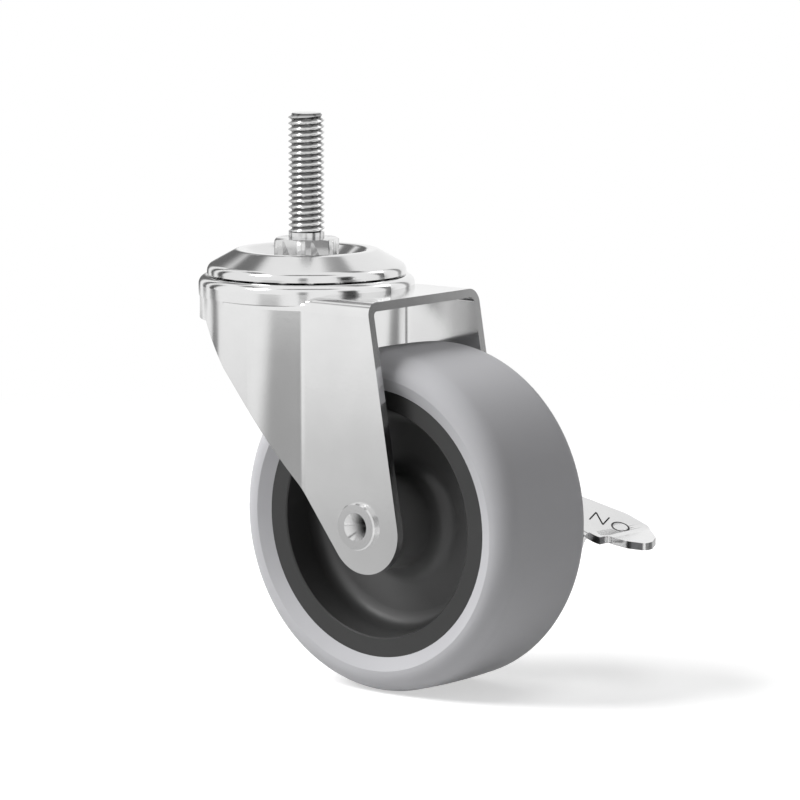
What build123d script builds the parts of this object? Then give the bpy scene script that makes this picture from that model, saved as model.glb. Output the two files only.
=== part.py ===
from build123d import *

import os
from math import atan2, cos, degrees, hypot, radians, sin, sqrt, tan

# Braked stem castor: a threaded stem carries a double ball race, on which a pressed
# fork swivels. The fork holds a soft-tread wheel on a riveted axle, and the same
# rivet carries a pressed brake lever on the outside of one leg.
#
# Millimetres. The origin is on the swivel axis, on the top face of the stem's hexagon.
# +Z is up along the stem, +X points from the swivel axis towards the axle, and
# +Y is the axle's direction, towards the side with the brake lever.

# Driving dimensions: stem
thread_diameter = 9.525
thread_length = 31.75
thread_chamfer = 1.0
neck_length = 1.4
hex_across_flats = 15.875
hex_height = 5.4
hex_chamfer = 1.1
collar_diameter = 19.0
collar_height = 3.8
collar_round = 1.7
shank_diameter = 12.4
foot_top_diameter = 13.8
foot_bottom_diameter = 16.8
foot_height = 5.4
foot_lobes = 6
foot_groove_radius = 2.0
foot_groove_depth = 1.2

# Driving dimensions: ball races
ball_diameter = 4.7625
upper_ball_count = 19
upper_pitch_diameter = 42.4
lower_ball_count = 15
lower_pitch_diameter = 28.4
cover_sheet = 2.3
cover_diameter = 53.0
cover_rim_height = 2.0
cover_crown_diameter = 37.6
cover_dish_diameter = 32.6
cover_cone_height = 4.3
cover_pocket_depth = 1.5
cover_pocket_bend = 0.2
cover_bend = 0.1
cup_sheet = 2.0
cup_diameter = 42.7
cup_height = 5.0
cup_lip_height = 1.8
cup_cone_angle = 45.0
cup_lip_angle = 45.0
cup_crown_bend = 0.3
cup_lip_bend = 1.0

# Driving dimensions: fork
fork_sheet = 2.3
head_diameter = 57.5
head_rim_height = 2.4
head_land_height = 2.7
head_hole_diameter = 24.6
skirt_diameter = 57.0
skirt_drop = 8.9
skirt_step_front = -5.3
skirt_step_rear = 2.4
skirt_step_depth = 1.0
crown_drop = 0.6
crown_rear = 39.4
crown_bend_radius = 3.6
leg_outer_width = 46.6
leg_crease = 17.5
leg_sweep_slope = 4.608
leg_crease_round = 6.0
leg_round_radius = 11.0
leg_round_offset_x = 1.9
leg_round_offset_z = -1.4
skirt_edge_front = -14.0
axle_trail = 36.6
axle_below_head = 58.8
leg_hole_diameter = 10.4

# Driving dimensions: wheel
wheel_diameter = 90.0
tread_width = 36.4
tread_shoulder = 6.0
tread_crown = 0.3
rim_width = 33.0
tread_thickness = 9.8
rim_thickness = 5.1
rim_rib_height = 2.2
rim_rib_width = 14.0
recess_draft = 5.0
recess_corner = 4.5
web_thickness = 9.0
hub_diameter = 24.0
hub_draft = 3.0
hub_root_round = 5.0
bush_outer_diameter = 17.8
bush_bore_diameter = 12.0
edge_break = 0.35

# Driving dimensions: axle
axle_diameter = 9.525
shoulder_diameter = 10.3
shoulder_length = 4.0
axle_head_diameter = 14.9
axle_head_thickness = 1.5
axle_head_step = 0.7
tail_diameter = 12.4
tail_height = 1.4
tail_dimple_diameter = 7.4
tail_dimple_depth = 4.6

# Driving dimensions: brake lever, with places given from the axle's centre
brake_sheet = 1.9
brake_bend_radius = 2.6
brake_bend_inside = 0.7
joggle_depth = 3.2
joggle_run = 3.0
joggle_bend = 0.8
joggle_top = (-15.6, 17.5)
joggle_low = (-22.8, 0.4)
joggle_lead = 0.4
joggle_slant_limit = 72.0
recess_long = 24.6
recess_wide = 10.6
recess_floor_long = 18.4
recess_floor_wide = 6.2
recess_depth = 2.5
recess_wall = 0.8
recess_x = -1.6
recess_z = -0.4
recess_tilt = 20.5
nub_side = 4.4
nub_height = 4.0
nub_x = 19.5
nub_z = -5.8

# Outlines of the brake lever in X and Z: its top edge, and the lower edge of its plate
lever_top_corners = [(-42.0, 30.1), (-13.8, 17.4), (7.5, 19.8), (19.5, 2.8), (41.0, -5.4), (60.0, -4.4)]
lever_top_bends = [10.0, 8.0, 10.0, 14.0]
plate_front = [(-27.6, 24.8), (-30.6, 13.3), (-24.0, 1.1)]
plate_belly = [(-24.0, 1.1), (-8.5, -10.8), (10.6, -14.1)]
plate_heel = [(10.6, -14.1), (26.0, -16.4), (38.8, -10.2)]
plate_rear = (41.0, -5.4)

# Plan of the lever's flange, X from the axle and Y from the plate's near face
toe_tab = [(-39.9, 0.4), (-34.3, 0.0), (-32.9, 6.9), (-27.6, 6.8)]
heel_tab = [
    (41.0, 6.7), (50.9, 1.2), (57.9, -0.4), (57.6, 3.0), (53.4, 10.4), (40.3, 25.4), (33.5, 25.2),
]
flange_edge = [
    (24.5, 21.0), (15.6, 15.8), (8.0, 8.2), (-4.5, 16.9), (-15.0, 21.6), (-24.5, 28.8), (-34.6, 27.6),
    (-37.7, 18.9),
]
toe_tab_rounds = [1.5, 1.0, 0.6, 0]
heel_tab_rounds = [0.8, 12.0, 1.2, 3.0, 4.0, 4.0, 6.0]
flange_edge_rounds = [5.0, 8.0, 6.0, 5.0, 8.0, 6.0, 5.0, 5.0]

# Clearances
shaft_clearance = 0.05
race_clearance = 0.05
track_opening = 0.15
running_gap = 0.4
side_gap = 0.65

# How far a cutting shape passes the face that it cuts, and how near counts as touching
cut_margin = 1.0
touch_margin = 0.01

# Levels that follow from the stack on the stem, from the hexagon down
collar_bottom = -hex_height - collar_height
cover_floor_bottom = collar_bottom - cover_sheet
cup_top = cover_floor_bottom
cup_floor = cup_top - cup_height
land_bottom = cup_floor + ball_diameter + 2 * race_clearance
land_top = land_bottom + fork_sheet
head_level = land_top - head_land_height
crown_top = head_level - crown_drop
axle_z = head_level - axle_below_head
leg_outer = leg_outer_width / 2
leg_inner = leg_outer - fork_sheet
hub_length = 2 * (leg_inner - side_gap)

# The wheel is built inwards from its tread
rim_outer_diameter = wheel_diameter - 2 * tread_thickness
rim_inner_diameter = rim_outer_diameter - 2 * rim_thickness

# Each ball track is a little wider than the balls that run in it
track_radius = ball_diameter / 2 + track_opening

# The cover's rim runs just above the fork's rim, and its cone rests on the balls
ball_radius = ball_diameter / 2
upper_pitch_radius = upper_pitch_diameter / 2
lower_pitch_radius = lower_pitch_diameter / 2
cover_rim_bottom = head_level + head_rim_height + running_gap
cover_edge = cover_rim_bottom + cover_rim_height
cover_top = cover_edge + cover_cone_height
cone_run = (cover_diameter - cover_crown_diameter) / 2
cone_length = hypot(cone_run, cover_cone_height)
cone_sine = cover_cone_height / cone_length
cone_cosine = cone_run / cone_length
cone_gap = ball_radius + cover_sheet + race_clearance
upper_ball_z = cover_edge - (cone_gap - (cover_diameter / 2 - upper_pitch_radius) * cone_sine) / cone_cosine
groove_bottom = upper_ball_z - ball_radius - race_clearance
lower_ball_z = cup_floor + race_clearance + ball_radius

# The brake lever lies against the outside of the leg on the +Y side
plate_near = leg_outer + running_gap
plate_far = plate_near + brake_sheet
recess_floor_far = plate_far + recess_depth
head_seat = recess_floor_far + shaft_clearance
lever_width = max(y for _, y in heel_tab + flange_edge) + brake_sheet

axle_axis = Axis((axle_trail, 0, axle_z), (0, 1, 0))


def radial_section(outline):
    """Turn a closed outline of radius and height, drawn flat, into a ring about the swivel axis."""
    return revolve(Plane.XZ * make_face(outline), Axis.Z, 360)


def turned(points):
    """A ring about the swivel axis from the corners of its section."""
    return radial_section(Polyline(*points, close=True))


def about_axle(outline):
    """A ring about the axle from an outline of distance along Y and radius."""
    section = Plane((axle_trail, 0, axle_z), x_dir=(0, 1, 0), z_dir=(1, 0, 0)) * make_face(outline)
    return revolve(section, axle_axis, 360)


def parallel(points, gap):
    """The corners of the same run of straight lines, moved to its right by a gap."""
    starts = [Vector(*point) for point in points]
    runs = [(end - start).normalized() for start, end in zip(starts, starts[1:])]
    sides = [Vector(run.Y, -run.X) for run in runs]
    moved = [starts[0] + sides[0] * gap]
    for corner, before, after in zip(starts[1:], sides, sides[1:]):
        moved.append(corner + (before + after) * (gap / (1 + before.dot(after))))
    moved.append(starts[-1] + sides[-1] * gap)
    return [(corner.X, corner.Y) for corner in moved]


def bent_lines(points, bends, sheet):
    """The two faces of a bent sheet: a line through its corners, and the other face to its right."""
    face_radii = []
    back_radii = []
    for before, corner, after, bend in zip(points, points[1:], points[2:], bends):
        across = (corner[0] - before[0]) * (after[1] - corner[1])
        across -= (corner[1] - before[1]) * (after[0] - corner[0])
        face_radii.append(bend if across > 0 else bend + sheet)
        back_radii.append(bend + sheet if across > 0 else bend)
    face_line = FilletPolyline(*points, radius=face_radii)
    back_line = FilletPolyline(*parallel(points, sheet), radius=back_radii)
    return face_line, back_line


def bent_sheet(points, bends, sheet):
    """Section of a bent sheet from the corners of one face and the inside radius of each bend."""
    face_line, back_line = bent_lines(points, bends, sheet)
    ends = [Line(face_line @ 0, back_line @ 0), Line(face_line @ 1, back_line @ 1)]
    return make_face([face_line, back_line] + ends)


def threaded_stem():
    """Stem with its hexagon, round collar, shank and the swaged foot that grips the lower cup."""
    thread_radius = thread_diameter / 2
    top = neck_length + thread_length
    collar_radius = collar_diameter / 2
    foot_top = cup_top - cup_sheet
    foot_bottom = foot_top - foot_height
    stem = Cylinder(thread_radius, top, align=(Align.CENTER, Align.CENTER, Align.MIN))
    stem = chamfer(stem.edges().sort_by(Axis.Z)[-1], thread_chamfer)

    # The hexagon's corners are cut back by a cone at its top and its bottom
    corner_radius = hex_across_flats / sqrt(3)
    hexagon = extrude(RegularPolygon(corner_radius, 6), -hex_height)
    drop = hex_chamfer * tan(radians(30))
    envelope = turned([
        (0, 0), (corner_radius - hex_chamfer, 0), (corner_radius, -drop),
        (corner_radius, drop - hex_height), (corner_radius - hex_chamfer, -hex_height), (0, -hex_height),
    ])
    stem += hexagon & envelope

    collar = Pos(0, 0, collar_bottom) * Cylinder(
        collar_radius, collar_height, align=(Align.CENTER, Align.CENTER, Align.MIN)
    )
    stem += fillet(collar.edges().filter_by(GeomType.CIRCLE), collar_round)
    stem += turned([
        (0, collar_bottom), (shank_diameter / 2, collar_bottom), (shank_diameter / 2, foot_top),
        (foot_top_diameter / 2, foot_top), (foot_bottom_diameter / 2, foot_bottom), (0, foot_bottom),
    ])

    # Swaging leaves lobes round the foot, parted by grooves that deepen downwards
    foot_lean = degrees(atan2((foot_bottom_diameter - foot_top_diameter) / 2, foot_height))
    groove_x = foot_bottom_diameter / 2 - foot_groove_depth + foot_groove_radius
    groove = Cylinder(foot_groove_radius, foot_height, align=(Align.CENTER, Align.CENTER, Align.MIN))
    for lobe in range(foot_lobes):
        turn = Rot(0, 0, (lobe + 0.5) * 360 / foot_lobes)
        stem -= turn * Pos(groove_x, 0, foot_bottom) * Rot(0, foot_lean / 4, 0) * groove
    return stem


def upper_race_cover():
    """Pressed cover with a vertical rim, a cone that rests on the upper balls and a dish for the collar."""
    pocket_radius = collar_diameter / 2 + running_gap / 2
    hole_radius = shank_diameter / 2 + shaft_clearance
    points = [
        (hole_radius, collar_bottom), (pocket_radius, collar_bottom),
        (pocket_radius, collar_bottom + cover_pocket_depth), (cover_dish_diameter / 2, cover_top),
        (cover_crown_diameter / 2, cover_top), (cover_diameter / 2, cover_edge),
        (cover_diameter / 2, cover_rim_bottom),
    ]
    bends = [cover_pocket_bend, cover_pocket_bend, cover_bend, cover_bend, cover_bend]
    return revolve(Plane.XZ * bent_sheet(points, bends, cover_sheet), Axis.Z, 360)


def lower_race_cup():
    """Pressed cup: a raised frustum gripped by the stem's foot, a ball track round it and a turned-up lip."""
    cone = radians(cup_cone_angle)
    base_radius = lower_pitch_radius - track_radius * tan(cone / 2)
    top_radius = base_radius - cup_height / tan(cone)
    hole_radius = shank_diameter / 2 + shaft_clearance
    lip = radians(cup_lip_angle)
    lip_end = cup_diameter / 2 - cup_sheet * sin(lip)
    points = [
        (hole_radius, cup_top), (top_radius, cup_top), (base_radius, cup_floor),
        (lip_end - cup_lip_height / tan(lip), cup_floor), (lip_end, cup_floor + cup_lip_height),
    ]
    bends = [cup_crown_bend, track_radius, cup_lip_bend]
    return revolve(Plane.XZ * bent_sheet(points, bends, cup_sheet), Axis.Z, 360)


def ball_ring(count, pitch_radius, height):
    """The balls of one race, evenly spaced on their pitch circle."""
    balls = []
    for place in range(count):
        angle = radians(360 * (place + 0.5) / count)
        balls.append(Pos(pitch_radius * cos(angle), pitch_radius * sin(angle), height) * Sphere(ball_radius))
    return balls


def wall_plan(inset):
    """Outline of the fork's walls seen from above, moved in by a wall's thickness or by nothing."""
    radius = skirt_diameter / 2 - inset
    leg = leg_outer - inset
    far = axle_trail + 2 * leg_round_radius
    front = skirt_step_front
    rear = skirt_step_rear
    front_y = sqrt((skirt_diameter / 2) ** 2 - front**2) - inset
    front_x = -sqrt(radius**2 - front_y**2)
    rear_y = sqrt((skirt_diameter / 2) ** 2 - rear**2) - skirt_step_depth - inset
    slope = radians(leg_sweep_slope)
    side = []
    for sign in (1, -1):
        side.append([
            Line((front_x, sign * front_y), (rear, sign * rear_y)),
            TangentArc((rear, sign * rear_y), (leg_crease, sign * leg), tangent=(cos(slope), -sign * sin(slope))),
            Line((leg_crease, sign * leg), (far, sign * leg)),
        ])
    nose = ThreePointArc((front_x, front_y), (-radius, 0), (front_x, -front_y))
    end = Line((far, leg), (far, -leg))
    plan = make_face(side[0] + side[1] + [nose, end])
    creases = [corner for corner in plan.vertices() if abs(corner.X - leg_crease) < touch_margin]
    return fillet(creases, leg_crease_round + inset)


def side_profile():
    """Outline of the fork seen along the axle: skirt, slanted edges and the round end of the legs."""
    round_x = axle_trail + leg_round_offset_x
    round_z = axle_z + leg_round_offset_z

    def tangent_point(x, z, turn):
        """Where the line from a point touches the legs' round end, on the left or right side of it."""
        away = hypot(x - round_x, z - round_z)
        angle = atan2(z - round_z, x - round_x)
        swing = turn * atan2(sqrt(away**2 - leg_round_radius**2), leg_round_radius)
        place = angle + swing
        return (round_x + leg_round_radius * cos(place), round_z + leg_round_radius * sin(place))

    skirt_z = head_level - skirt_drop
    front = tangent_point(skirt_edge_front, skirt_z, 1)
    rear = tangent_point(crown_rear, crown_top, -1)
    bottom = (round_x, round_z - leg_round_radius)
    left = -head_diameter
    top = crown_top + fork_sheet
    top_x = crown_rear - fork_sheet * (rear[0] - crown_rear) / (crown_top - rear[1])
    outline = [
        Line((left, top), (left, skirt_z)),
        Line((left, skirt_z), (skirt_edge_front, skirt_z)),
        Line((skirt_edge_front, skirt_z), front),
        ThreePointArc(front, bottom, rear),
        Line(rear, (top_x, top)),
        Line((top_x, top), (left, top)),
    ]
    return make_face(outline)


def bent_block(inset, bottom):
    """A block with the fork's plan, rounded along its top edge as the sheet bends there."""
    bend = crown_bend_radius - inset
    plan = Pos(0, 0, bottom) * wall_plan(inset)
    block = extrude(plan, crown_top - inset - bottom)
    rear_x = axle_trail + leg_round_radius
    top_edges = [
        edge
        for edge in block.faces().sort_by(Axis.Z)[-1].edges()
        if edge.center().X < rear_x
    ]
    return fillet(top_edges, bend)


def fork():
    """Pressed fork: raised ball-race head, skirt, flat crown and two legs with axle holes."""
    low = axle_z - 2 * leg_round_radius
    shell = bent_block(0, low) - bent_block(fork_sheet, low - fork_sheet)
    reach = skirt_diameter
    profile = Plane((0, reach, 0), x_dir=(1, 0, 0), z_dir=(0, -1, 0)) * side_profile()
    fork_body = shell & extrude(profile, 2 * reach)

    # The head: an inner land, the upper ball track, a raised rim and its rolled edge
    head_radius = head_diameter / 2
    rim_top = head_level + head_rim_height
    crown_bottom = crown_top - fork_sheet
    skirt_inner = skirt_diameter / 2 - fork_sheet
    rim_inner = upper_pitch_radius + track_radius
    track_z = groove_bottom + track_radius
    land = make_face(Polyline(
        (head_hole_diameter / 2, land_bottom), (upper_pitch_radius, land_bottom),
        (upper_pitch_radius, land_top), (head_hole_diameter / 2, land_top), close=True,
    ))
    bowl = Pos(upper_pitch_radius, track_z) * Circle(track_radius + fork_sheet)
    bowl &= make_face(Polyline(
        (0, land_bottom), (rim_inner, land_bottom), (rim_inner, -axle_below_head), (0, -axle_below_head),
        close=True,
    ))
    rim = make_face(FilletPolyline(
        (rim_inner, crown_bottom), (head_radius, crown_bottom), (head_radius, rim_top), (rim_inner, rim_top),
        radius=[0, 0, head_rim_height, 0], close=True,
    ))
    section = land + bowl + rim - Pos(upper_pitch_radius, track_z) * Circle(track_radius)
    opening = (upper_pitch_radius, track_z + track_radius)
    section -= Pos(*opening) * Rectangle(2 * track_radius, 2 * track_radius)
    fork_body -= Pos(0, 0, crown_top) * Cylinder(upper_pitch_radius, 4 * fork_sheet)
    fork_body += revolve(Plane.XZ * section, Axis.Z, 360)

    # At the front the rim's wall runs straight down into the skirt
    skirt_bottom = head_level - skirt_drop
    skirt = turned([
        (skirt_inner, head_level - head_land_height), (skirt_diameter / 2, head_level - head_land_height),
        (skirt_diameter / 2, skirt_bottom), (skirt_inner, skirt_bottom),
    ])
    front_half = Pos(skirt_step_front, 0, skirt_bottom) * Box(
        skirt_diameter, skirt_diameter, 2 * skirt_drop, align=(Align.MAX, Align.CENTER, Align.CENTER)
    )
    fork_body += skirt & front_half

    holes = Pos(axle_trail, 0, axle_z) * Rot(90, 0, 0) * Cylinder(leg_hole_diameter / 2, 2 * leg_outer_width)
    return fork_body - holes


def wheel_tread():
    """Soft tread, moulded over the core's rib: it widens from the rim to its rounded shoulders."""
    half = tread_width / 2
    rim_half = rim_width / 2
    outer = wheel_diameter / 2
    edge = outer - tread_crown
    seat = rim_outer_diameter / 2
    rib_top = seat + rim_rib_height
    rib_half = rim_rib_width / 2
    side_top = edge - tread_shoulder
    inside = Polyline((-half, side_top), (-rim_half, seat), (-rib_half, seat), (-rib_half, rib_top))
    inside_end = Polyline((rib_half, rib_top), (rib_half, seat), (rim_half, seat), (half, side_top))
    bulge = tread_shoulder * (1 - sqrt(0.5))
    shoulder_left = ThreePointArc(
        (-half, side_top), (bulge - half, edge - bulge), (tread_shoulder - half, edge)
    )
    shoulder_right = ThreePointArc(
        (half, side_top), (half - bulge, edge - bulge), (half - tread_shoulder, edge)
    )
    crown = ThreePointArc((tread_shoulder - half, edge), (0, outer), (half - tread_shoulder, edge))
    rib = Line((-rib_half, rib_top), (rib_half, rib_top))
    return about_axle([inside, rib, inside_end, shoulder_right, crown, shoulder_left])


def wheel_core():
    """Moulded core: rim, solid web set deep between two recesses, and a long hub."""
    half = rim_width / 2
    web = web_thickness / 2
    hub_end = hub_length / 2
    rim_depth = half - web
    hub_depth = hub_end - web
    rim_out = rim_outer_diameter / 2
    rim_in = rim_inner_diameter / 2
    rim_root = rim_in - rim_depth * tan(radians(recess_draft))
    hub = hub_diameter / 2
    hub_root = hub + hub_depth * tan(radians(hub_draft))
    bore = bush_outer_diameter / 2
    rib_top = rim_out + rim_rib_height
    rib_half = rim_rib_width / 2
    right = [
        (hub_end - edge_break, bore), (hub_end, bore + edge_break), (hub_end, hub - edge_break),
        (hub_end - edge_break, hub), (web, hub_root), (web, rim_root), (half - edge_break, rim_in),
        (half, rim_in + edge_break), (half, rim_out), (rib_half, rim_out), (rib_half, rib_top),
    ]
    rounds = [0, 0, 0, 0, hub_root_round, recess_corner, 0, 0, 0, 0, 0]
    left = [(-along, radius) for along, radius in reversed(right)]
    outline = FilletPolyline(*right, *left, radius=rounds + rounds[::-1], close=True)
    return about_axle(outline)


def hub_bush():
    """Plain bearing bush pressed into the hub and flush with its ends."""
    end = hub_length / 2
    outer = bush_outer_diameter / 2
    bore = bush_bore_diameter / 2
    points = [
        (-end + edge_break, outer), (end - edge_break, outer), (end, outer - edge_break),
        (end, bore + edge_break), (end - edge_break, bore), (-end + edge_break, bore),
        (-end, bore + edge_break), (-end, outer - edge_break),
    ]
    return about_axle(Polyline(*points, close=True))


def axle_sleeve():
    """Spacer tube on the rivet: it keeps the legs apart and is what the bush turns on."""
    outer = bush_bore_diameter / 2 - shaft_clearance
    bore = axle_diameter / 2 + shaft_clearance
    points = [(-leg_inner, bore), (leg_inner, bore), (leg_inner, outer), (-leg_inner, outer)]
    return about_axle(Polyline(*points, close=True))


def axle_rivet():
    """Axle rivet: stepped head over the brake lever, shoulder, body and the tail that grips the other leg."""
    body = axle_diameter / 2
    shoulder = shoulder_diameter / 2
    head = axle_head_diameter / 2
    head_end = head_seat + axle_head_thickness
    tail_seat = -leg_outer
    tail_end = tail_seat - tail_height
    dimple = tail_dimple_diameter / 2
    shoulder_end = head_seat - shoulder_length
    points = [
        (tail_end, dimple), (tail_end, tail_diameter / 2 - edge_break),
        (tail_end + edge_break, tail_diameter / 2), (tail_seat, tail_diameter / 2), (tail_seat, body),
        (shoulder_end - edge_break, body), (shoulder_end, shoulder), (head_seat, shoulder),
        (head_seat, head), (head_end - axle_head_step, head),
        (head_end - axle_head_step, head - axle_head_step), (head_end - edge_break, head - axle_head_step),
        (head_end, head - 2 * axle_head_step), (head_end, 0),
        (tail_end + tail_dimple_depth, 0),
    ]
    return about_axle(Polyline(*points, close=True))


def along_axle(face, start, end):
    """Stand a face drawn in X and Z from the axle's centre up along Y, between two places."""
    placed = Plane((axle_trail, start, axle_z), x_dir=(1, 0, 0), z_dir=(0, -1, 0)) * face
    return extrude(placed, start - end)


def lever_block(top_line, step_line, bend):
    """The space below a top line and beyond a stepped face, rounded where the two meet."""
    reach = 2 * head_diameter
    lean = Vector(joggle_top[0] - joggle_low[0], 0, joggle_top[1] - joggle_low[1]).normalized()
    step_plane = Plane(
        (axle_trail + joggle_low[0], plate_near, axle_z + joggle_low[1]),
        x_dir=(lean.Z, 0, -lean.X), z_dir=(lean.X, 0, lean.Z),
    )
    first, last = step_line @ 0, step_line @ 1
    beyond = make_face([step_line, Polyline(last, (last.X, reach / 2), (first.X, reach / 2), first)])
    first, last = top_line @ 0, top_line @ 1
    below = make_face([top_line, Polyline(last, (last.X, -reach / 2), (first.X, -reach / 2), first)])
    far_end = plate_near + lever_width
    block = along_axle(below, plate_near - cut_margin, far_end)
    block &= extrude(step_plane * beyond, amount=reach, both=True)

    # The bend takes the edges that follow the top line, also where they slant at the step
    steepest = sin(radians(joggle_slant_limit))
    bends = []
    for edge in block.edges():
        middle = edge @ 0.5
        in_view = Vertex(middle.X - axle_trail, middle.Z - axle_z, 0)
        follows_top = in_view.distance_to(top_line) < touch_margin and abs((edge % 0.5).Y) < steepest
        if follows_top and middle.Y < far_end - cut_margin:
            bends.append(edge)
    return fillet(bends, bend)


def obround_taper(long, wide, floor_long, floor_wide, near, depth):
    """A tapering obround prism along Y over the recess's centre."""
    sections = []
    for length, width, y in ((long, wide, near), (floor_long, floor_wide, near + depth)):
        place = Plane(
            (axle_trail + recess_x, y, axle_z + recess_z), x_dir=(1, 0, 0), z_dir=(0, -1, 0)
        )
        sections.append(place * Rot(0, 0, -recess_tilt) * SlotOverall(length, width))
    return loft(sections)


def brake_lever():
    """Pressed brake lever: a plate with a set-out front, a recess and a nub, and a flange with two pedals."""
    top_line, under_line = bent_lines(lever_top_corners, lever_top_bends, brake_sheet)
    reach = head_diameter
    step_corners = [(reach, 0), (0, 0), (-joggle_run, joggle_depth), (-reach, joggle_depth)]
    near_line, far_line = bent_lines(step_corners, [joggle_bend, joggle_bend], brake_sheet)
    shell = lever_block(top_line, near_line, brake_bend_radius)
    shell -= lever_block(under_line, far_line, brake_bend_inside)

    # The plate and its bend are trimmed to the lever's side view
    edge_top = lever_top_corners[0][1]
    outline = make_face([
        ThreePointArc(*plate_front), ThreePointArc(*plate_belly), ThreePointArc(*plate_heel),
        Polyline(
            plate_heel[-1], plate_rear, (plate_rear[0], edge_top), (plate_front[0][0], edge_top),
            plate_front[0],
        ),
    ])
    bend_end = plate_near + joggle_depth + brake_bend_radius
    lever = shell & along_axle(outline, plate_near - cut_margin, bend_end + running_gap / 2)

    # The flange is trimmed to the lever's plan, clear of the rounded bend
    front_bend = joggle_depth + brake_bend_radius
    inner_edge = [
        (plate_front[0][0], front_bend), (joggle_top[0] - (1 + joggle_lead) * joggle_run, front_bend),
        (joggle_top[0] + joggle_lead * joggle_run, brake_bend_radius), (plate_rear[0], brake_bend_radius),
    ]
    corners = toe_tab + inner_edge + heel_tab + flange_edge
    rounds = toe_tab_rounds + [0, 0, 0, 0] + heel_tab_rounds + flange_edge_rounds
    plan = make_face(FilletPolyline(*corners, radius=rounds, close=True))
    band = make_face([
        top_line, under_line, Line(top_line @ 0, under_line @ 0), Line(top_line @ 1, under_line @ 1),
    ])
    flange = along_axle(band, plate_near - nub_height, plate_near + lever_width)
    flange &= extrude(Pos(axle_trail, plate_near, axle_z) * plan, amount=reach, both=True)
    lever += flange

    # The recess is drawn outwards round the axle hole
    wall = 2 * recess_wall
    lever += obround_taper(
        recess_long + wall, recess_wide + wall, recess_floor_long + wall, recess_floor_wide + wall,
        plate_far, recess_depth,
    )
    lever -= obround_taper(
        recess_long, recess_wide, recess_floor_long, recess_floor_wide, plate_near, recess_depth
    )
    hole_radius = shoulder_diameter / 2 + shaft_clearance
    lever -= along_axle(Circle(hole_radius), plate_near - cut_margin, recess_floor_far + cut_margin)
    nub = Pos(nub_x, nub_z) * Rot(0, 0, -recess_tilt) * RectangleRounded(nub_side, nub_side, nub_side / 8)
    lever += along_axle(nub, plate_near - nub_height, plate_near + brake_sheet / 2)
    return lever


def write(name, solid):
    """Write one sub-part to its own file."""
    export_step(solid, f"parts/{name}.step")


def main():
    os.makedirs("parts", exist_ok=True)
    write("threaded_stem", threaded_stem())
    write("upper_race_cover", upper_race_cover())
    write("lower_race_cup", lower_race_cup())
    write("fork", fork())
    write("wheel_tread", wheel_tread())
    write("wheel_core", wheel_core())
    write("hub_bush", hub_bush())
    write("axle_sleeve", axle_sleeve())
    write("axle_rivet", axle_rivet())
    write("brake_lever", brake_lever())
    for place, ball in enumerate(ball_ring(upper_ball_count, upper_pitch_radius, upper_ball_z), start=1):
        write(f"upper_ball_{place:02d}", ball)
    for place, ball in enumerate(ball_ring(lower_ball_count, lower_pitch_radius, lower_ball_z), start=1):
        write(f"lower_ball_{place:02d}", ball)


main()
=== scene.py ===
# %% [markdown]
# A braked stem castor: bright plated steel pressings, a grey soft tread on a dark moulded core,
# and a long threaded stem. The solids already have the right sizes, so this lesson only dresses them.
# We load them as a fixed frame.

# %% Load the castor's solids
import bmesh
import bpy
from math import cos, pi, radians, sin, tan
from mathutils import Matrix, Vector


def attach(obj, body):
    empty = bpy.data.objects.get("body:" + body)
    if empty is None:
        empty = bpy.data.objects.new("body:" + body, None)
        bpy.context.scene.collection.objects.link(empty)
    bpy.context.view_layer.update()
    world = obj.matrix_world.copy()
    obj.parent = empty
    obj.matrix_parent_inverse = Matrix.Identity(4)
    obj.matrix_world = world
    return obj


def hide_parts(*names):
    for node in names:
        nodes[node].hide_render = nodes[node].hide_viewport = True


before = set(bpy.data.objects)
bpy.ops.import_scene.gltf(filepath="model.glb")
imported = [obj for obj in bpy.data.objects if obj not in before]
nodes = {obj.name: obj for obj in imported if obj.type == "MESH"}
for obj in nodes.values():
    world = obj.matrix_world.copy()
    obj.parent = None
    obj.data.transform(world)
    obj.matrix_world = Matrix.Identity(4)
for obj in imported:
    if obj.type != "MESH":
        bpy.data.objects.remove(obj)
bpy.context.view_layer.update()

# %% [markdown]
# The drawing looks down at the castor by only eight degrees, from in front of the wheel's near side,
# and from far away, so that the lines stay almost parallel. An orthographic camera could give that view too,
# but a long lens far from the castor keeps a little perspective, as a real picture has. The camera is aimed
# at the middle of the castor, and is placed by its turn and its tilt.

# %% Place the camera
MM = 0.001
VIEW_TURN = 38.65
VIEW_TILT = 8.0
VIEW_DISTANCE = 1.2
VIEW_TARGET = Vector((0.0285, 0.004, -0.0415))


def from_castor(turn, tilt):
    """The direction that leaves the castor at a turn and a tilt, both in degrees."""
    turn = radians(turn)
    tilt = radians(tilt)
    return Vector((sin(turn) * cos(tilt), -cos(turn) * cos(tilt), sin(tilt)))


camera_data = bpy.data.cameras.new("view_lens")
camera_data.lens = 205.0
camera_data.sensor_width = 36.0
camera = bpy.data.objects.new("view_camera", camera_data)
bpy.context.scene.collection.objects.link(camera)
toward_camera = from_castor(VIEW_TURN, VIEW_TILT)
camera.location = VIEW_TARGET + toward_camera * VIEW_DISTANCE
camera.rotation_euler = toward_camera.to_track_quat("Z", "Y").to_euler()
bpy.context.scene.camera = camera
bpy.context.scene.view_settings.view_transform = "Standard"
print("camera at", [round(value, 3) for value in camera.location])

# %% [markdown]
# Many finishes share two surface effects. Each material could hold all the nodes itself, but a node group is
# built once and changed in one place, and each material gives it values of its own. A group may only put out
# values that change over the surface, and the shader stays in each material. Four helpers make an empty
# group, feed a socket, add noise, and spread a value between two limits.

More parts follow.
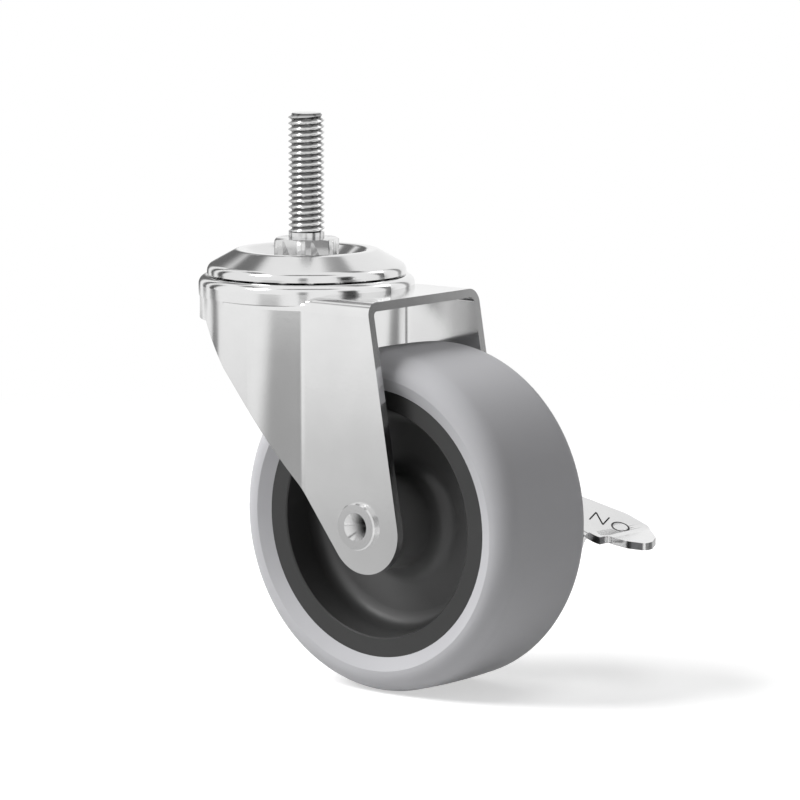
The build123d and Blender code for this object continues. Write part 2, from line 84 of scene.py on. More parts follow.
# %% Prepare to build groups
def new_group(name, inputs, outputs):
    """An empty node group with float inputs, given with their defaults, and named outputs."""
    group = bpy.data.node_groups.new(name, "ShaderNodeTree")
    for label, default in inputs:
        socket = group.interface.new_socket(label, in_out="INPUT", socket_type="NodeSocketFloat")
        socket.default_value = default
    for label, kind in outputs:
        group.interface.new_socket(label, in_out="OUTPUT", socket_type=kind)
    return group, group.nodes.new("NodeGroupInput"), group.nodes.new("NodeGroupOutput")


def feed(group, socket, value):
    """Set a socket to a number, or link another socket to it."""
    if isinstance(value, (int, float)):
        socket.default_value = value
    else:
        group.links.new(value, socket)


def object_noise(group, scale, detail):
    """Noise on the piece's own coordinates, so that it stays on the piece when the piece moves."""
    place = group.nodes.new("ShaderNodeTexCoord")
    noise = group.nodes.new("ShaderNodeTexNoise")
    noise.inputs["Detail"].default_value = detail
    feed(group, noise.inputs["Scale"], scale)
    group.links.new(place.outputs["Object"], noise.inputs["Vector"])
    return noise


def remap(group, value, low, high):
    """Spread a value from 0 to 1 between two limits, each a number or a socket."""
    node = group.nodes.new("ShaderNodeMapRange")
    group.links.new(value, node.inputs["Value"])
    feed(group, node.inputs["To Min"], low)
    feed(group, node.inputs["To Max"], high)
    return node.outputs["Result"]


print("helpers:", [helper.__name__ for helper in (new_group, feed, object_noise, remap)])

# %% [markdown]
# Plated sheet has a faint mottle from rolling and plating, which mostly shows as uneven polish. A picture of
# real steel could give it, but noise needs no picture and has no seams.

# %% Build the plated-sheet effect
plated, plated_in, plated_out = new_group(
    "plated_sheet",
    [("Darkest", 0.5), ("Lightest", 0.8), ("Polished", 0.1), ("Dull", 0.3)],
    [("Colour", "NodeSocketColor"), ("Roughness", "NodeSocketFloat"), ("Height", "NodeSocketFloat")],
)
mottle = object_noise(plated, scale=90, detail=6)
haze = object_noise(plated, scale=35, detail=3)
grain = object_noise(plated, scale=900, detail=3)
shade = remap(plated, mottle.outputs["Fac"], plated_in.outputs["Darkest"], plated_in.outputs["Lightest"])
tint = plated.nodes.new("ShaderNodeCombineColor")
for channel in ("Red", "Green", "Blue"):
    plated.links.new(shade, tint.inputs[channel])
plated.links.new(tint.outputs["Color"], plated_out.inputs["Colour"])
polish = remap(plated, haze.outputs["Fac"], plated_in.outputs["Polished"], plated_in.outputs["Dull"])
plated.links.new(polish, plated_out.inputs["Roughness"])
plated.links.new(grain.outputs["Fac"], plated_out.inputs["Height"])
print("group", plated.name, "has", len(plated.nodes), "nodes")

# %% [markdown]
# Moulded rubber and plastic aren't flat either: the tool leaves a fine stipple and the colour clouds a little.
# The stipple could be modelled, but it is far finer than the mesh, so a height for a low bump shows it better.
# This second group has the same outputs, from a finer grain and a wider cloud, and its Cool makes the grey
# a touch bluer.

# %% Build the moulded effect
moulded, moulded_in, moulded_out = new_group(
    "moulded_surface",
    [("Darkest", 0.1), ("Lightest", 0.2), ("Cool", 1.0), ("Polished", 0.4), ("Dull", 0.6), ("Stipple", 1500)],
    [("Colour", "NodeSocketColor"), ("Roughness", "NodeSocketFloat"), ("Height", "NodeSocketFloat")],
)
cloud = object_noise(moulded, scale=45, detail=4)
stipple = object_noise(moulded, scale=moulded_in.outputs["Stipple"], detail=2)
shade = remap(moulded, cloud.outputs["Fac"], moulded_in.outputs["Darkest"], moulded_in.outputs["Lightest"])
tint = moulded.nodes.new("ShaderNodeCombineColor")
cooler = moulded.nodes.new("ShaderNodeMath")
cooler.operation = "MULTIPLY"
moulded.links.new(shade, cooler.inputs[0])
moulded.links.new(moulded_in.outputs["Cool"], cooler.inputs[1])
for channel, level in (("Red", shade), ("Green", shade), ("Blue", cooler.outputs["Value"])):
    moulded.links.new(level, tint.inputs[channel])
moulded.links.new(tint.outputs["Color"], moulded_out.inputs["Colour"])
polish = remap(moulded, cloud.outputs["Fac"], moulded_in.outputs["Polished"], moulded_in.outputs["Dull"])
moulded.links.new(polish, moulded_out.inputs["Roughness"])
moulded.links.new(stipple.outputs["Fac"], moulded_out.inputs["Height"])
print("group", moulded.name, "has", len(moulded.nodes), "nodes")

# %% [markdown]
# One helper makes every finish: the shader reads colour, polish and a very low bump from a group.
# Metal is fully metallic, rubber and plastic aren't, and the plain numbers sit on the shader itself.
# Eleven materials could be built by hand, but they would be hard to keep alike.

# %% Join a group to a shader
RELIEF_HEIGHT = 0.02 * MM


def finish(name, group, values, metallic, bump, specular=0.5):
    """A material whose colour, roughness and bump come from one of the surface groups."""
    material = bpy.data.materials.new(name)
    material.use_nodes = True
    tree = material.node_tree
    shader = tree.nodes["Principled BSDF"]
    shader.inputs["Metallic"].default_value = metallic
    shader.inputs["Specular IOR Level"].default_value = specular
    surface = tree.nodes.new("ShaderNodeGroup")
    surface.node_tree = group
    for label, value in values.items():
        surface.inputs[label].default_value = value
    relief = tree.nodes.new("ShaderNodeBump")
    relief.inputs["Strength"].default_value = bump
    relief.inputs["Distance"].default_value = RELIEF_HEIGHT
    tree.links.new(surface.outputs["Colour"], shader.inputs["Base Color"])
    tree.links.new(surface.outputs["Roughness"], shader.inputs["Roughness"])
    tree.links.new(surface.outputs["Height"], relief.inputs["Height"])
    tree.links.new(relief.outputs["Normal"], shader.inputs["Normal"])
    return material


print("height of the relief in millimetres:", RELIEF_HEIGHT / MM)

# %% [markdown]
# The castor's steel differs a little from piece to piece: the balls are the most polished, the fork and its
# races come next, and stem and rivet are duller. The tread is soft and grey, and core and bush are hard and
# dark. Bright metal has no colour of its own to copy, so the values were found by trying, and by comparing
# each render with the drawing.

# %% Mix the finishes
def steel(name, darkest, lightest, polished, dull, bump=0.15):
    """A plated steel: how dark and light its mottle is, and how polished and dull."""
    return finish(
        name, plated,
        {"Darkest": darkest, "Lightest": lightest, "Polished": polished, "Dull": dull},
        metallic=1.0, bump=bump,
    )


fork_finish = steel("bright_plated_sheet", 0.74, 0.84, 0.10, 0.18)
race_finish = steel("bright_plated_races", 0.70, 0.82, 0.09, 0.17)
stem_finish = steel("zinc_plated_stem", 0.66, 0.78, 0.14, 0.24)
ball_finish = steel("polished_balls", 0.74, 0.82, 0.05, 0.10, bump=0.05)
lever_finish = steel("plated_brake_sheet", 0.66, 0.78, 0.12, 0.20)
rivet_finish = steel("zinc_plated_rivet", 0.64, 0.76, 0.14, 0.26)
sleeve_finish = steel("drawn_tube", 0.50, 0.62, 0.25, 0.40)
# painted shade: the punched grooves are coloured near black, as the shade inside them
groove_shade_finish = steel("stamped_groove_painted_shade", 0.10, 0.16, 0.45, 0.60)
tread_finish = finish(
    "grey_soft_tread", moulded,
    {"Darkest": 0.44, "Lightest": 0.49, "Cool": 1.035, "Polished": 0.46, "Dull": 0.56, "Stipple": 1200},
    metallic=0.0, bump=0.35, specular=0.22,
)
core_finish = finish(
    "dark_moulded_core", moulded,
    {"Darkest": 0.085, "Lightest": 0.105, "Polished": 0.34, "Dull": 0.44, "Stipple": 2000},
    metallic=0.0, bump=0.30,
)
bush_finish = finish(
    "grey_bearing_plastic", moulded,
    {"Darkest": 0.13, "Lightest": 0.17, "Polished": 0.35, "Dull": 0.45, "Stipple": 2500},
    metallic=0.0, bump=0.20,
)
print("materials so far:", len(bpy.data.materials))

# %% [markdown]
# Shade is painted into the deep places: the colour of the thread's roots and of the bottom of the rivet's
# dimple is darkened where shade falls. Distance from an axis or a point, measured in the piece's own
# coordinates, finds those places, so the painted shade follows the piece wherever it turns. Ambient occlusion
# could find them too, but it would also darken pieces that merely stand close together. On the wheel's core the
# same
# painted shade works the other way: its rim is painted darker than the web inside it.

# %% Paint shade into the deep places
# painted shade: darkens a finish's colour towards a point or an axis, where shade would fall
def paint_shade_near(material, centre, axes, near, far, darkest, unshaded_inside=0.0):
    """Darken a finish towards a point, or an axis where one of the axes is 0, between two distances.

    Where near is the larger of the two, the painted shade lies outside. Nearer than the last distance given,
    the colour is left unshaded.
    """
    tree = material.node_tree
    place = tree.nodes.new("ShaderNodeTexCoord")
    away = tree.nodes.new("ShaderNodeVectorMath")
    away.operation = "SUBTRACT"
    away.inputs[1].default_value = centre
    kept = tree.nodes.new("ShaderNodeVectorMath")
    kept.operation = "MULTIPLY"
    kept.inputs[1].default_value = axes
    distance = tree.nodes.new("ShaderNodeVectorMath")
    distance.operation = "LENGTH"
    depth = tree.nodes.new("ShaderNodeMapRange")
    depth.interpolation_type = "SMOOTHSTEP"
    depth.inputs["From Min"].default_value = near
    depth.inputs["From Max"].default_value = far
    depth.inputs["To Min"].default_value = darkest
    inner = tree.nodes.new("ShaderNodeMath")
    inner.operation = "LESS_THAN"
    inner.inputs[1].default_value = unshaded_inside
    lighter = tree.nodes.new("ShaderNodeMath")
    lighter.operation = "MAXIMUM"
    darker = tree.nodes.new("ShaderNodeVectorMath")
    darker.operation = "SCALE"
    shader = tree.nodes["Principled BSDF"]
    unshaded_colour = shader.inputs["Base Color"].links[0].from_socket
    tree.links.new(place.outputs["Object"], away.inputs[0])
    tree.links.new(away.outputs["Vector"], kept.inputs[0])
    tree.links.new(kept.outputs["Vector"], distance.inputs[0])
    tree.links.new(distance.outputs["Value"], depth.inputs["Value"])
    tree.links.new(unshaded_colour, darker.inputs[0])
    tree.links.new(distance.outputs["Value"], inner.inputs[0])
    tree.links.new(depth.outputs["Result"], lighter.inputs[0])
    tree.links.new(inner.outputs["Value"], lighter.inputs[1])
    tree.links.new(lighter.outputs["Value"], darker.inputs["Scale"])
    tree.links.new(darker.outputs["Vector"], shader.inputs["Base Color"])


AXLE = Vector((36.6, 0, -70.838)) * MM
DIMPLE_BOTTOM = AXLE + Vector((0, -20.1, 0)) * MM
ROUND_Z = (1, 1, 0)
ROUND_Y = (1, 0, 1)
ALL_WAYS = (1, 1, 1)
# painted shade: darker towards the thread's roots, and unshaded again nearer the axis than 3.68 mm
paint_shade_near(
    stem_finish, (0, 0, 0), ROUND_Z, near=3.95 * MM, far=4.70 * MM, darkest=0.22, unshaded_inside=3.68 * MM
)
# painted shade: darker towards the bottom of the rivet's dimple
paint_shade_near(rivet_finish, DIMPLE_BOTTOM, ALL_WAYS, near=0.5 * MM, far=5.4 * MM, darkest=0.12)
# painted shade: the core darker outwards from 26.5 mm, on its rim and outer wall, than on its web
paint_shade_near(core_finish, AXLE, ROUND_Y, near=29.5 * MM, far=26.5 * MM, darkest=0.33)
print("darkened:", stem_finish.name, rivet_finish.name, core_finish.name)

# %% [markdown]
# The solids keep their shapes, so each only gets its finish in its first material slot.
# The balls are many and alike: every node that isn't named here is a ball.

# %% Give each solid its finish
finish_of = {
    "fork": fork_finish, "upper_race_cover": race_finish, "lower_race_cup": race_finish,
    "threaded_stem": stem_finish, "axle_rivet": rivet_finish, "axle_sleeve": sleeve_finish,
    "wheel_tread": tread_finish, "wheel_core": core_finish, "hub_bush": bush_finish,
    "brake_lever": lever_finish,
}
for name, piece in nodes.items():
    piece.data.materials.clear()
    piece.data.materials.append(finish_of.get(name, ball_finish))
print("finishes:", len(bpy.data.materials))

# %% [markdown]
# The stem's thread is a real helix: a coarse thread of sixteen turns to the inch, with flat crests and roots.
# Stacked rings would be quicker, but have no slope, and a bump would leave the outline smooth.
# One tooth's outline is spun upwards turn after turn, which leaves each turn joined to the next.

# %% Turn the thread
THREAD_RADIUS = 9.525 / 2 * MM
THREAD_PITCH = 25.4 / 16 * MM
NECK_TOP = 1.4 * MM
THREAD_TOP = 33.15 * MM
FLANK_SLOPE = radians(60)
TURN_STEPS = 56
MERGE_WITHIN = 0.001 * MM

root_flat = THREAD_PITCH / 4
crest_flat = THREAD_PITCH / 8
flank_height = THREAD_PITCH * 5 / 16
root_radius = THREAD_RADIUS - flank_height * tan(FLANK_SLOPE)
turns = int((THREAD_TOP - NECK_TOP) / THREAD_PITCH) + 4
start = NECK_TOP - 2 * THREAD_PITCH

thread = bmesh.new()
tooth = [
    (root_radius, 0), (root_radius, root_flat), (THREAD_RADIUS, root_flat + flank_height),
    (THREAD_RADIUS, root_flat + crest_flat + flank_height), (root_radius, THREAD_PITCH),
]
corners = [thread.verts.new((radius, 0, start + height)) for radius, height in tooth]
edges = [thread.edges.new(pair) for pair in zip(corners, corners[1:])]
bmesh.ops.spin(
    thread, geom=corners + edges, cent=(0, 0, 0), axis=(0, 0, 1),
    dvec=(0, 0, THREAD_PITCH / TURN_STEPS), angle=2 * pi * turns, steps=TURN_STEPS * turns,
    use_merge=False, use_duplicate=False,
)
bmesh.ops.remove_doubles(thread, verts=thread.verts, dist=MERGE_WITHIN)
print("thread turns:", turns, "faces:", len(thread.faces))

# %% [markdown]
# A real stem is cut to length, and here too more turns were spun than are needed. The helix could be made to
# end exactly at its height, but its ends would be ragged. So both ends are cut square and closed, and the top
# is narrowed to a cone, the lead-in that lets a nut find the thread.

# %% Square the thread's ends
LEAD_IN = 1.1 * MM
CUT_WITHIN = 0.0001 * MM
RIM_WITHIN = 0.01 * MM


def cut_square(mesh, height, up):
    """Cut a mesh level at a height, drop the part beyond and close the end."""
    everything = mesh.verts[:] + mesh.edges[:] + mesh.faces[:]
    bmesh.ops.bisect_plane(
        mesh, geom=everything, dist=CUT_WITHIN, plane_co=(0, 0, height), plane_no=(0, 0, up), clear_outer=True
    )
    rim = [
        edge for edge in mesh.edges
        if edge.is_boundary and all(abs(end.co.z - height) < RIM_WITHIN for end in edge.verts)
    ]
    bmesh.ops.holes_fill(mesh, edges=rim, sides=0)


cut_square(thread, THREAD_TOP, 1)
cut_square(thread, NECK_TOP, -1)
for corner in thread.verts:
    reach = corner.co.xy.length
    allowed = THREAD_RADIUS - max(0.0, corner.co.z - (THREAD_TOP - LEAD_IN))
    if reach > allowed:
        corner.co.xy *= allowed / reach
print("faces after the cuts:", len(thread.faces))

# %% [markdown]
# Under the thread the stem stays plain for a short way, and below that the hexagon begins.
# The rest of the stem is good as it is, so a copy of the solid is cut off at the hexagon's top face
# and the plain neck and the thread are set on it. The new stem then stands for the solid one.

# %% Join the thread to the hexagon
NECK_IN_HEXAGON = 0.4 * MM
NECK_IN_THREAD = 0.2 * MM

bmesh.ops.create_cone(
    thread, cap_ends=True, segments=64, radius1=THREAD_RADIUS, radius2=THREAD_RADIUS,
    depth=NECK_IN_HEXAGON + NECK_TOP + NECK_IN_THREAD,
    matrix=Matrix.Translation((0, 0, (NECK_TOP + NECK_IN_THREAD - NECK_IN_HEXAGON) / 2)),
)
lower = bmesh.new()
lower.from_mesh(nodes["threaded_stem"].data)
bmesh.ops.remove_doubles(lower, verts=lower.verts, dist=MERGE_WITHIN)
cut_square(lower, 0.0, 1)
lower_mesh = bpy.data.meshes.new("stem_lower")
lower.to_mesh(lower_mesh)
lower.free()
thread.from_mesh(lower_mesh)
bmesh.ops.recalc_face_normals(thread, faces=thread.faces)


def smooth_by_angle(mesh, degrees):
    """Shade a mesh smooth, apart from the edges that turn by more than an angle."""
    mesh.polygons.foreach_set("use_smooth", [True] * len(mesh.polygons))
    mesh.set_sharp_from_angle(angle=radians(degrees))


stem_mesh = bpy.data.meshes.new("stem_with_thread")
thread.to_mesh(stem_mesh)
thread.free()
smooth_by_angle(stem_mesh, degrees=32)
stem_mesh.materials.append(stem_finish)
stem = bpy.data.objects.new("stem_with_thread", stem_mesh)
bpy.context.scene.collection.objects.link(stem)
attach(stem, "stem")
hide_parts("threaded_stem")
print("stem faces:", len(stem_mesh.polygons))

# %% [markdown]
# The two pedal tabs are stamped with ON and OFF, by a punch that is pressed into the sheet. The words could be
# drawn by a picture, but then they would look printed. So the punch is made as solid text first, and is laid
# on the tab's slope, a little way into the steel.

# %% Make a punch for a word
PLATE_NEAR = 23.7 * MM
STAMP_DEPTH = 0.28 * MM
LETTER_HALF_DEPTH = 0.8 * MM
LETTER_THINNING = 0.014


def stamp(word, length, height, centre, along, skew):
    """Solid letters on a tab: centre is X and Z from the axle and Y from the plate, in millimetres,
    along is the tab's slope in X and Z, and skew turns the word on it, in degrees."""
    curve = bpy.data.curves.new(f"letters_{word}", "FONT")
    curve.body = word
    curve.size = height
    curve.align_x = "CENTER"
    curve.align_y = "CENTER"
    curve.extrude = LETTER_HALF_DEPTH
    curve.offset = -LETTER_THINNING * height
    curve.space_character = 1.1
    curve.resolution_u = 6
    holder = bpy.data.objects.new(f"letters_{word}", curve)
    bpy.context.scene.collection.objects.link(holder)
    bpy.context.view_layer.update()
    letters = bpy.data.meshes.new_from_object(holder.evaluated_get(bpy.context.evaluated_depsgraph_get()))
    bpy.data.objects.remove(holder)
    spans = []
    for axis in (0, 1):
        reach = [corner.co[axis] for corner in letters.vertices]
        spans.append((min(reach), max(reach)))
    centred = Matrix.Translation([-sum(span) / 2 for span in spans] + [0])
    fit = Matrix.Diagonal((length / (spans[0][1] - spans[0][0]), height / (spans[1][1] - spans[1][0]), 1, 1))
    slope = Vector((along[0], 0, along[1])).normalized()
    outward = -slope.cross(Vector((0, -1, 0)))
    turned = Matrix.Rotation(radians(skew), 3, outward)
    reading = turned @ -slope
    up = outward.cross(reading)
    lift = outward * (LETTER_HALF_DEPTH - STAMP_DEPTH)
    place = AXLE + Vector((centre[0] * MM, PLATE_NEAR + centre[1] * MM, centre[2] * MM)) + lift
    turn = Matrix((reading, up, outward)).transposed().to_4x4()
    letters.transform(Matrix.Translation(place) @ turn @ fit @ centred)
    letters.materials.clear()
    letters.materials.append(groove_shade_finish)
    cutter = bpy.data.objects.new(f"cutter_{word}", letters)
    bpy.context.scene.collection.objects.link(cutter)
    return cutter


LETTER_HEIGHT = 6.9 * MM
cutters = [
    stamp("OFF", 14.2 * MM, LETTER_HEIGHT, centre=(-25.3, 17.9, 22.58), along=(28.2, -12.7), skew=-32),
    stamp("ON", 10.6 * MM, LETTER_HEIGHT, centre=(35.7, 14.6, -3.38), along=(21.5, -8.2), skew=22),
]
print("punches:", [cutter.name for cutter in cutters])

# %% [markdown]
# A punch leaves a groove, and a boolean that takes the letters away leaves the same. It needs a clean mesh,
# so a copy of the lever is welded and its flat parts are joined first. The groove's walls take the letters'
# near-black finish, painted shade that makes them read as dark strokes.

# %% Stamp the words
WELD_WITHIN = 0.0005 * MM
FLAT_WITHIN = radians(0.05)

lever_copy = nodes["brake_lever"].data.copy()
lever_copy.name = "brake_lever_stamped"
merged = bmesh.new()
merged.from_mesh(lever_copy)
bmesh.ops.remove_doubles(merged, verts=merged.verts, dist=WELD_WITHIN)
bmesh.ops.dissolve_limit(merged, angle_limit=FLAT_WITHIN, verts=merged.verts, edges=merged.edges)
merged.to_mesh(lever_copy)
merged.free()
lever = bpy.data.objects.new("brake_lever_stamped", lever_copy)
bpy.context.scene.collection.objects.link(lever)
for cutter in cutters:
    cut = lever.modifiers.new(cutter.name, "BOOLEAN")
    cut.operation = "DIFFERENCE"
    cut.object = cutter
    cut.solver = "EXACT"
    cut.material_mode = "TRANSFER"
bpy.context.view_layer.update()
stamped = bpy.data.meshes.new_from_object(lever.evaluated_get(bpy.context.evaluated_depsgraph_get()))
lever.modifiers.clear()
lever.data = stamped
for cutter in cutters:
    bpy.data.objects.remove(cutter)
smooth_by_angle(stamped, degrees=28)
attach(lever, "brake")
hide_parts("brake_lever")
print("stamped lever faces:", len(stamped.polygons), "finishes:", [m.name for m in stamped.materials])

# %% [markdown]
# Bright steel shows its surroundings more than itself, so the studio makes the look. The floor and the world
# are white to the camera and to reflections, and tall dark boards stand round the castor, seen only in its
# reflections, as photographers use them to draw edges on metal. The floor comes first: a wide round sheet, on
# which the wheel stands.

# %% Lay the floor
WHEEL_RADIUS = 45.0 * MM
FLOOR_LEVEL = AXLE.z - WHEEL_RADIUS
FLOOR_RADIUS = 6.0

floor_shape = bmesh.new()
bmesh.ops.create_circle(floor_shape, cap_ends=True, segments=96, radius=FLOOR_RADIUS)
floor_mesh = bpy.data.meshes.new("studio_floor")
floor_shape.to_mesh(floor_mesh)
floor_shape.free()
floor_mesh.transform(Matrix.Translation((0, 0, FLOOR_LEVEL)))
floor = bpy.data.objects.new("studio_floor", floor_mesh)
bpy.context.scene.collection.objects.link(floor)
print("floor level in millimetres:", round(FLOOR_LEVEL / MM, 2))

# %% [markdown]
# White paper in a studio is only white under much light, and so much light would wash out the castor.
# Light Path tells what sort of ray meets a surface, so floor and world can be white to the camera and to
# reflections, and still send out little or no light of their own.

# %% Tell the rays that see from the rays that light
def seen_directly(tree):
    """1 for the rays of the camera, a reflection or a pane of glass, and 0 for the rest."""
    path = tree.nodes.new("ShaderNodeLightPath")
    either = tree.nodes.new("ShaderNodeMath")
    either.operation = "MAXIMUM"
    any_of_three = tree.nodes.new("ShaderNodeMath")
    any_of_three.operation = "MAXIMUM"
    tree.links.new(path.outputs["Is Camera Ray"], either.inputs[0])
    tree.links.new(path.outputs["Is Glossy Ray"], either.inputs[1])
    tree.links.new(either.outputs["Value"], any_of_three.inputs[0])
    tree.links.new(path.outputs["Is Transmission Ray"], any_of_three.inputs[1])
    return any_of_three.outputs["Value"]


print("helper:", seen_directly.__name__)

# %% [markdown]
# The castor needs a shadow, or it would seem to float. A plain white glow would swallow it, so near the castor
# the floor is part paper, which takes the shadow, and part glow. Farther off it fades to the white of the
# world, so that no horizon shows.

# %% Whiten the floor
PAPER_SHADE = 0.62
GLOW_NEARBY = 0.56
FADE_START = 0.20
FADE_END = 0.55

floor_finish = bpy.data.materials.new("white_floor")
floor_finish.use_nodes = True
tree = floor_finish.node_tree
tree.nodes.clear()
output = tree.nodes.new("ShaderNodeOutputMaterial")
paper = tree.nodes.new("ShaderNodeBsdfDiffuse")
paper.inputs["Color"].default_value = (PAPER_SHADE, PAPER_SHADE, PAPER_SHADE, 1)
glow = tree.nodes.new("ShaderNodeEmission")
lit = tree.nodes.new("ShaderNodeAddShader")
seen = seen_directly(tree)
level = tree.nodes.new("ShaderNodeMath")
level.operation = "MULTIPLY"
level.inputs[1].default_value = GLOW_NEARBY
place = tree.nodes.new("ShaderNodeTexCoord")
distance = tree.nodes.new("ShaderNodeVectorMath")
distance.operation = "LENGTH"
fade = tree.nodes.new("ShaderNodeMapRange")
fade.interpolation_type = "SMOOTHSTEP"
fade.inputs["From Min"].default_value = FADE_START
fade.inputs["From Max"].default_value = FADE_END
far_glow = tree.nodes.new("ShaderNodeEmission")
blend = tree.nodes.new("ShaderNodeMixShader")
tree.links.new(seen, level.inputs[0])
tree.links.new(level.outputs["Value"], glow.inputs["Strength"])
tree.links.new(seen, far_glow.inputs["Strength"])
tree.links.new(paper.outputs["BSDF"], lit.inputs[0])
tree.links.new(glow.outputs["Emission"], lit.inputs[1])
tree.links.new(place.outputs["Object"], distance.inputs[0])
tree.links.new(distance.outputs["Value"], fade.inputs["Value"])
tree.links.new(fade.outputs["Result"], blend.inputs["Fac"])
tree.links.new(lit.outputs["Shader"], blend.inputs[1])
tree.links.new(far_glow.outputs["Emission"], blend.inputs[2])
tree.links.new(blend.outputs["Shader"], output.inputs["Surface"])
floor_mesh.materials.append(floor_finish)
print("floor shade:", PAPER_SHADE, "glow:", GLOW_NEARBY)

# %% [markdown]
# The world is white where the camera or a reflection meets it. For soft light it is much weaker, so that the
# lamps, not the world, model the wheel's round form.

# %% Whiten the world
SOFT_WORLD = 0.14

world = bpy.data.worlds.new("white_studio")
bpy.context.scene.world = world
world.use_nodes = True
tree = world.node_tree
backdrop = tree.nodes["Background"]
backdrop.inputs["Color"].default_value = (1, 1, 1, 1)
strength = tree.nodes.new("ShaderNodeMapRange")
strength.inputs["To Min"].default_value = SOFT_WORLD
strength.inputs["To Max"].default_value = 1.0
tree.links.new(seen_directly(tree), strength.inputs["Value"])
tree.links.new(strength.outputs["Result"], backdrop.inputs["Strength"])
print("world strength for soft light:", SOFT_WORLD)

# %% [markdown]
# The dark cloths of a studio have soft folds and edges, which keep the bands on the steel smooth. A picture of
# a studio in the world could give such bands too, but cards can be moved one at a time. Each card has a plain
# shade, fades out towards its edges, and is hidden from all but reflections.

# %% Build a soft card
CARD_EDGE = 0.5
CARD_CORE = 0.22


def soft_card(name, width, height, shade_level):
    """A card that only reflections see, solid in its core and clear at its edge."""
    shape = bmesh.new()
    bmesh.ops.create_grid(shape, x_segments=1, y_segments=1, size=CARD_EDGE)
    mesh = bpy.data.meshes.new(name)
    shape.to_mesh(mesh)
    shape.free()
    board = bpy.data.objects.new(name, mesh)
    bpy.context.scene.collection.objects.link(board)
    board.scale = (width, height, 1)
    material = bpy.data.materials.new(f"{name}_cloth")
    material.use_nodes = True
    tree = material.node_tree
    tree.nodes.clear()
    output = tree.nodes.new("ShaderNodeOutputMaterial")
    cloth = tree.nodes.new("ShaderNodeEmission")
    cloth.inputs["Color"].default_value = (shade_level, shade_level, shade_level, 1)
    clear = tree.nodes.new("ShaderNodeBsdfTransparent")
    mix = tree.nodes.new("ShaderNodeMixShader")
    place = tree.nodes.new("ShaderNodeTexCoord")
    split = tree.nodes.new("ShaderNodeSeparateXYZ")
    tree.links.new(place.outputs["Object"], split.inputs["Vector"])
    edges = []
    for axis in ("X", "Y"):
        size = tree.nodes.new("ShaderNodeMath")
        size.operation = "ABSOLUTE"
        tree.links.new(split.outputs[axis], size.inputs[0])
        soft = tree.nodes.new("ShaderNodeMapRange")
        soft.interpolation_type = "SMOOTHSTEP"
        soft.inputs["From Min"].default_value = CARD_EDGE
        soft.inputs["From Max"].default_value = CARD_CORE
        tree.links.new(size.outputs["Value"], soft.inputs["Value"])
        edges.append(soft.outputs["Result"])
    both = tree.nodes.new("ShaderNodeMath")
    both.operation = "MULTIPLY"
    tree.links.new(edges[0], both.inputs[0])
    tree.links.new(edges[1], both.inputs[1])
    tree.links.new(both.outputs["Value"], mix.inputs["Fac"])
    tree.links.new(clear.outputs["BSDF"], mix.inputs[1])
    tree.links.new(cloth.outputs["Emission"], mix.inputs[2])
    tree.links.new(mix.outputs["Shader"], output.inputs["Surface"])
    mesh.materials.append(material)
    board.visible_camera = False
    board.visible_diffuse = False
    board.visible_shadow = False
    board.visible_transmission = False
    return board


print("a card is solid out to", CARD_CORE / CARD_EDGE, "of its half width")

# %% [markdown]
# Each board has a turn and a tilt as seen from the castor, so it is easy to work out which surface shows it:
# a flat side that faces a turn of 0 shows what stands as far on one side of it as the camera on the other.

# %% Stand the dark boards round the castor
BOARD_DISTANCE = 0.9
# turn and tilt in degrees, width and height in metres, and how light the board is
boards = [
    (-78, 0, 0.24, 1.5, 0.08), (-124, 2, 0.40, 1.5, 0.16), (34, 0, 0.20, 1.4, 0.34),
    (86, 2, 0.44, 1.5, 0.05), (138, 4, 0.24, 1.6, 0.14), (176, 4, 0.20, 1.5, 0.30),
    (262, 4, 0.20, 1.5, 0.10), (246, 44, 0.55, 0.34, 0.20), (178, 62, 0.60, 0.24, 0.25),
    (40, 66, 0.90, 0.24, 0.15), (-60, 55, 0.50, 0.24, 0.25),
]
for number, (turn, tilt, width, height, shade_level) in enumerate(boards, start=1):
    board = soft_card(f"standing_board_{number}", width, height, shade_level)
    outward = from_castor(turn, tilt)
    board.location = VIEW_TARGET + outward * BOARD_DISTANCE
    board.rotation_euler = outward.to_track_quat("Z", "Y").to_euler()
print("standing boards:", len(boards))

# %% [markdown]
# The camera looks slightly down, so upright steel mirrors the floor and not the boards behind it.
# A few cards therefore lie on the floor, each at a turn and a distance, with its long side pointing outwards:
# a light grey one makes the near leg darken downwards, and darker ones draw the bands on the skirt.

# %% Lay cards on the floor
CARD_STEP = 0.05 * MM
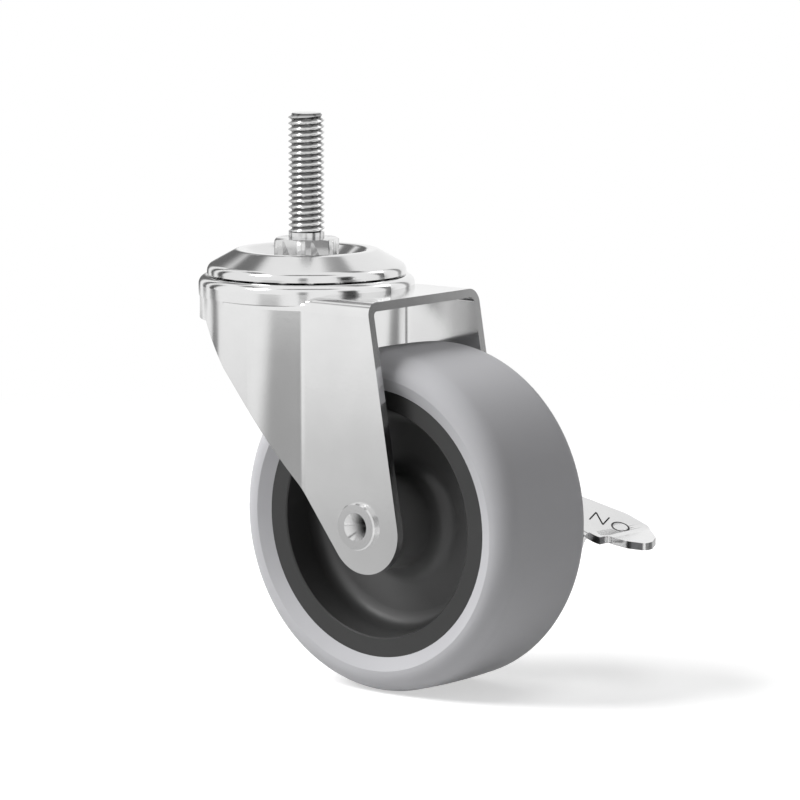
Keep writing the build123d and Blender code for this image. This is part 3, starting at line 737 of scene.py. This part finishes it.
# turn in degrees, distance, width and length in metres, and how light the card is
cards = [
    (-43, 0.28, 0.34, 0.80, 0.66), (-2, 0.55, 0.42, 0.95, 0.36), (-74, 0.55, 0.20, 0.90, 0.22),
    (-118, 0.50, 0.34, 0.90, 0.40), (90, 0.50, 0.44, 0.90, 0.20), (141, 0.50, 0.30, 0.90, 0.12),
    (182, 0.50, 0.30, 0.90, 0.45), (222, 0.28, 0.30, 0.60, 0.62),
]
for number, (turn, distance, width, length, shade_level) in enumerate(cards, start=1):
    card = soft_card(f"floor_card_{number}", width, length, shade_level)
    outward = from_castor(turn, 0)
    card.location = Vector((VIEW_TARGET.x, VIEW_TARGET.y, FLOOR_LEVEL)) + outward * distance
    card.location.z += number * CARD_STEP
    card.rotation_euler = (0, 0, radians(turn))
print("floor cards:", len(cards))

# %% [markdown]
# Soft lamps light the castor at a plain level: a wide one above on the left, a weaker one high on the right
# for the top of the tread, and one behind, so that the lever and the wheel's far side aren't lost.
# Polished steel would show such wide lamps as blank white patches, so it doesn't mirror them, and two small
# lamps give it its glints instead.

# %% Hang the lamps
LAMP_DISTANCE = 1.1


def soft_lamp(name, turn, tilt, size, power, mirrored):
    """A round lamp aimed at the castor, its size in metres and its power in watts, mirrored by steel or not."""
    light = bpy.data.lights.new(name, "AREA")
    light.shape = "DISK"
    light.size = size
    light.energy = power
    lamp = bpy.data.objects.new(name, light)
    lamp.visible_glossy = mirrored
    bpy.context.scene.collection.objects.link(lamp)
    outward = from_castor(turn, tilt)
    lamp.location = VIEW_TARGET + outward * LAMP_DISTANCE
    lamp.rotation_euler = outward.to_track_quat("Z", "Y").to_euler()


soft_lamp("lamp_above_left", -50, 44, 0.80, 16.5, False)
soft_lamp("lamp_over_right", 60, 72, 0.50, 2.6, False)
soft_lamp("lamp_behind", 215, 50, 0.60, 1.8, False)
soft_lamp("lamp_glint_left", -28, 44, 0.34, 1.6, True)
soft_lamp("lamp_glint_right", 150, 40, 0.30, 0.6, True)
print("lamps:", len(bpy.data.lights))
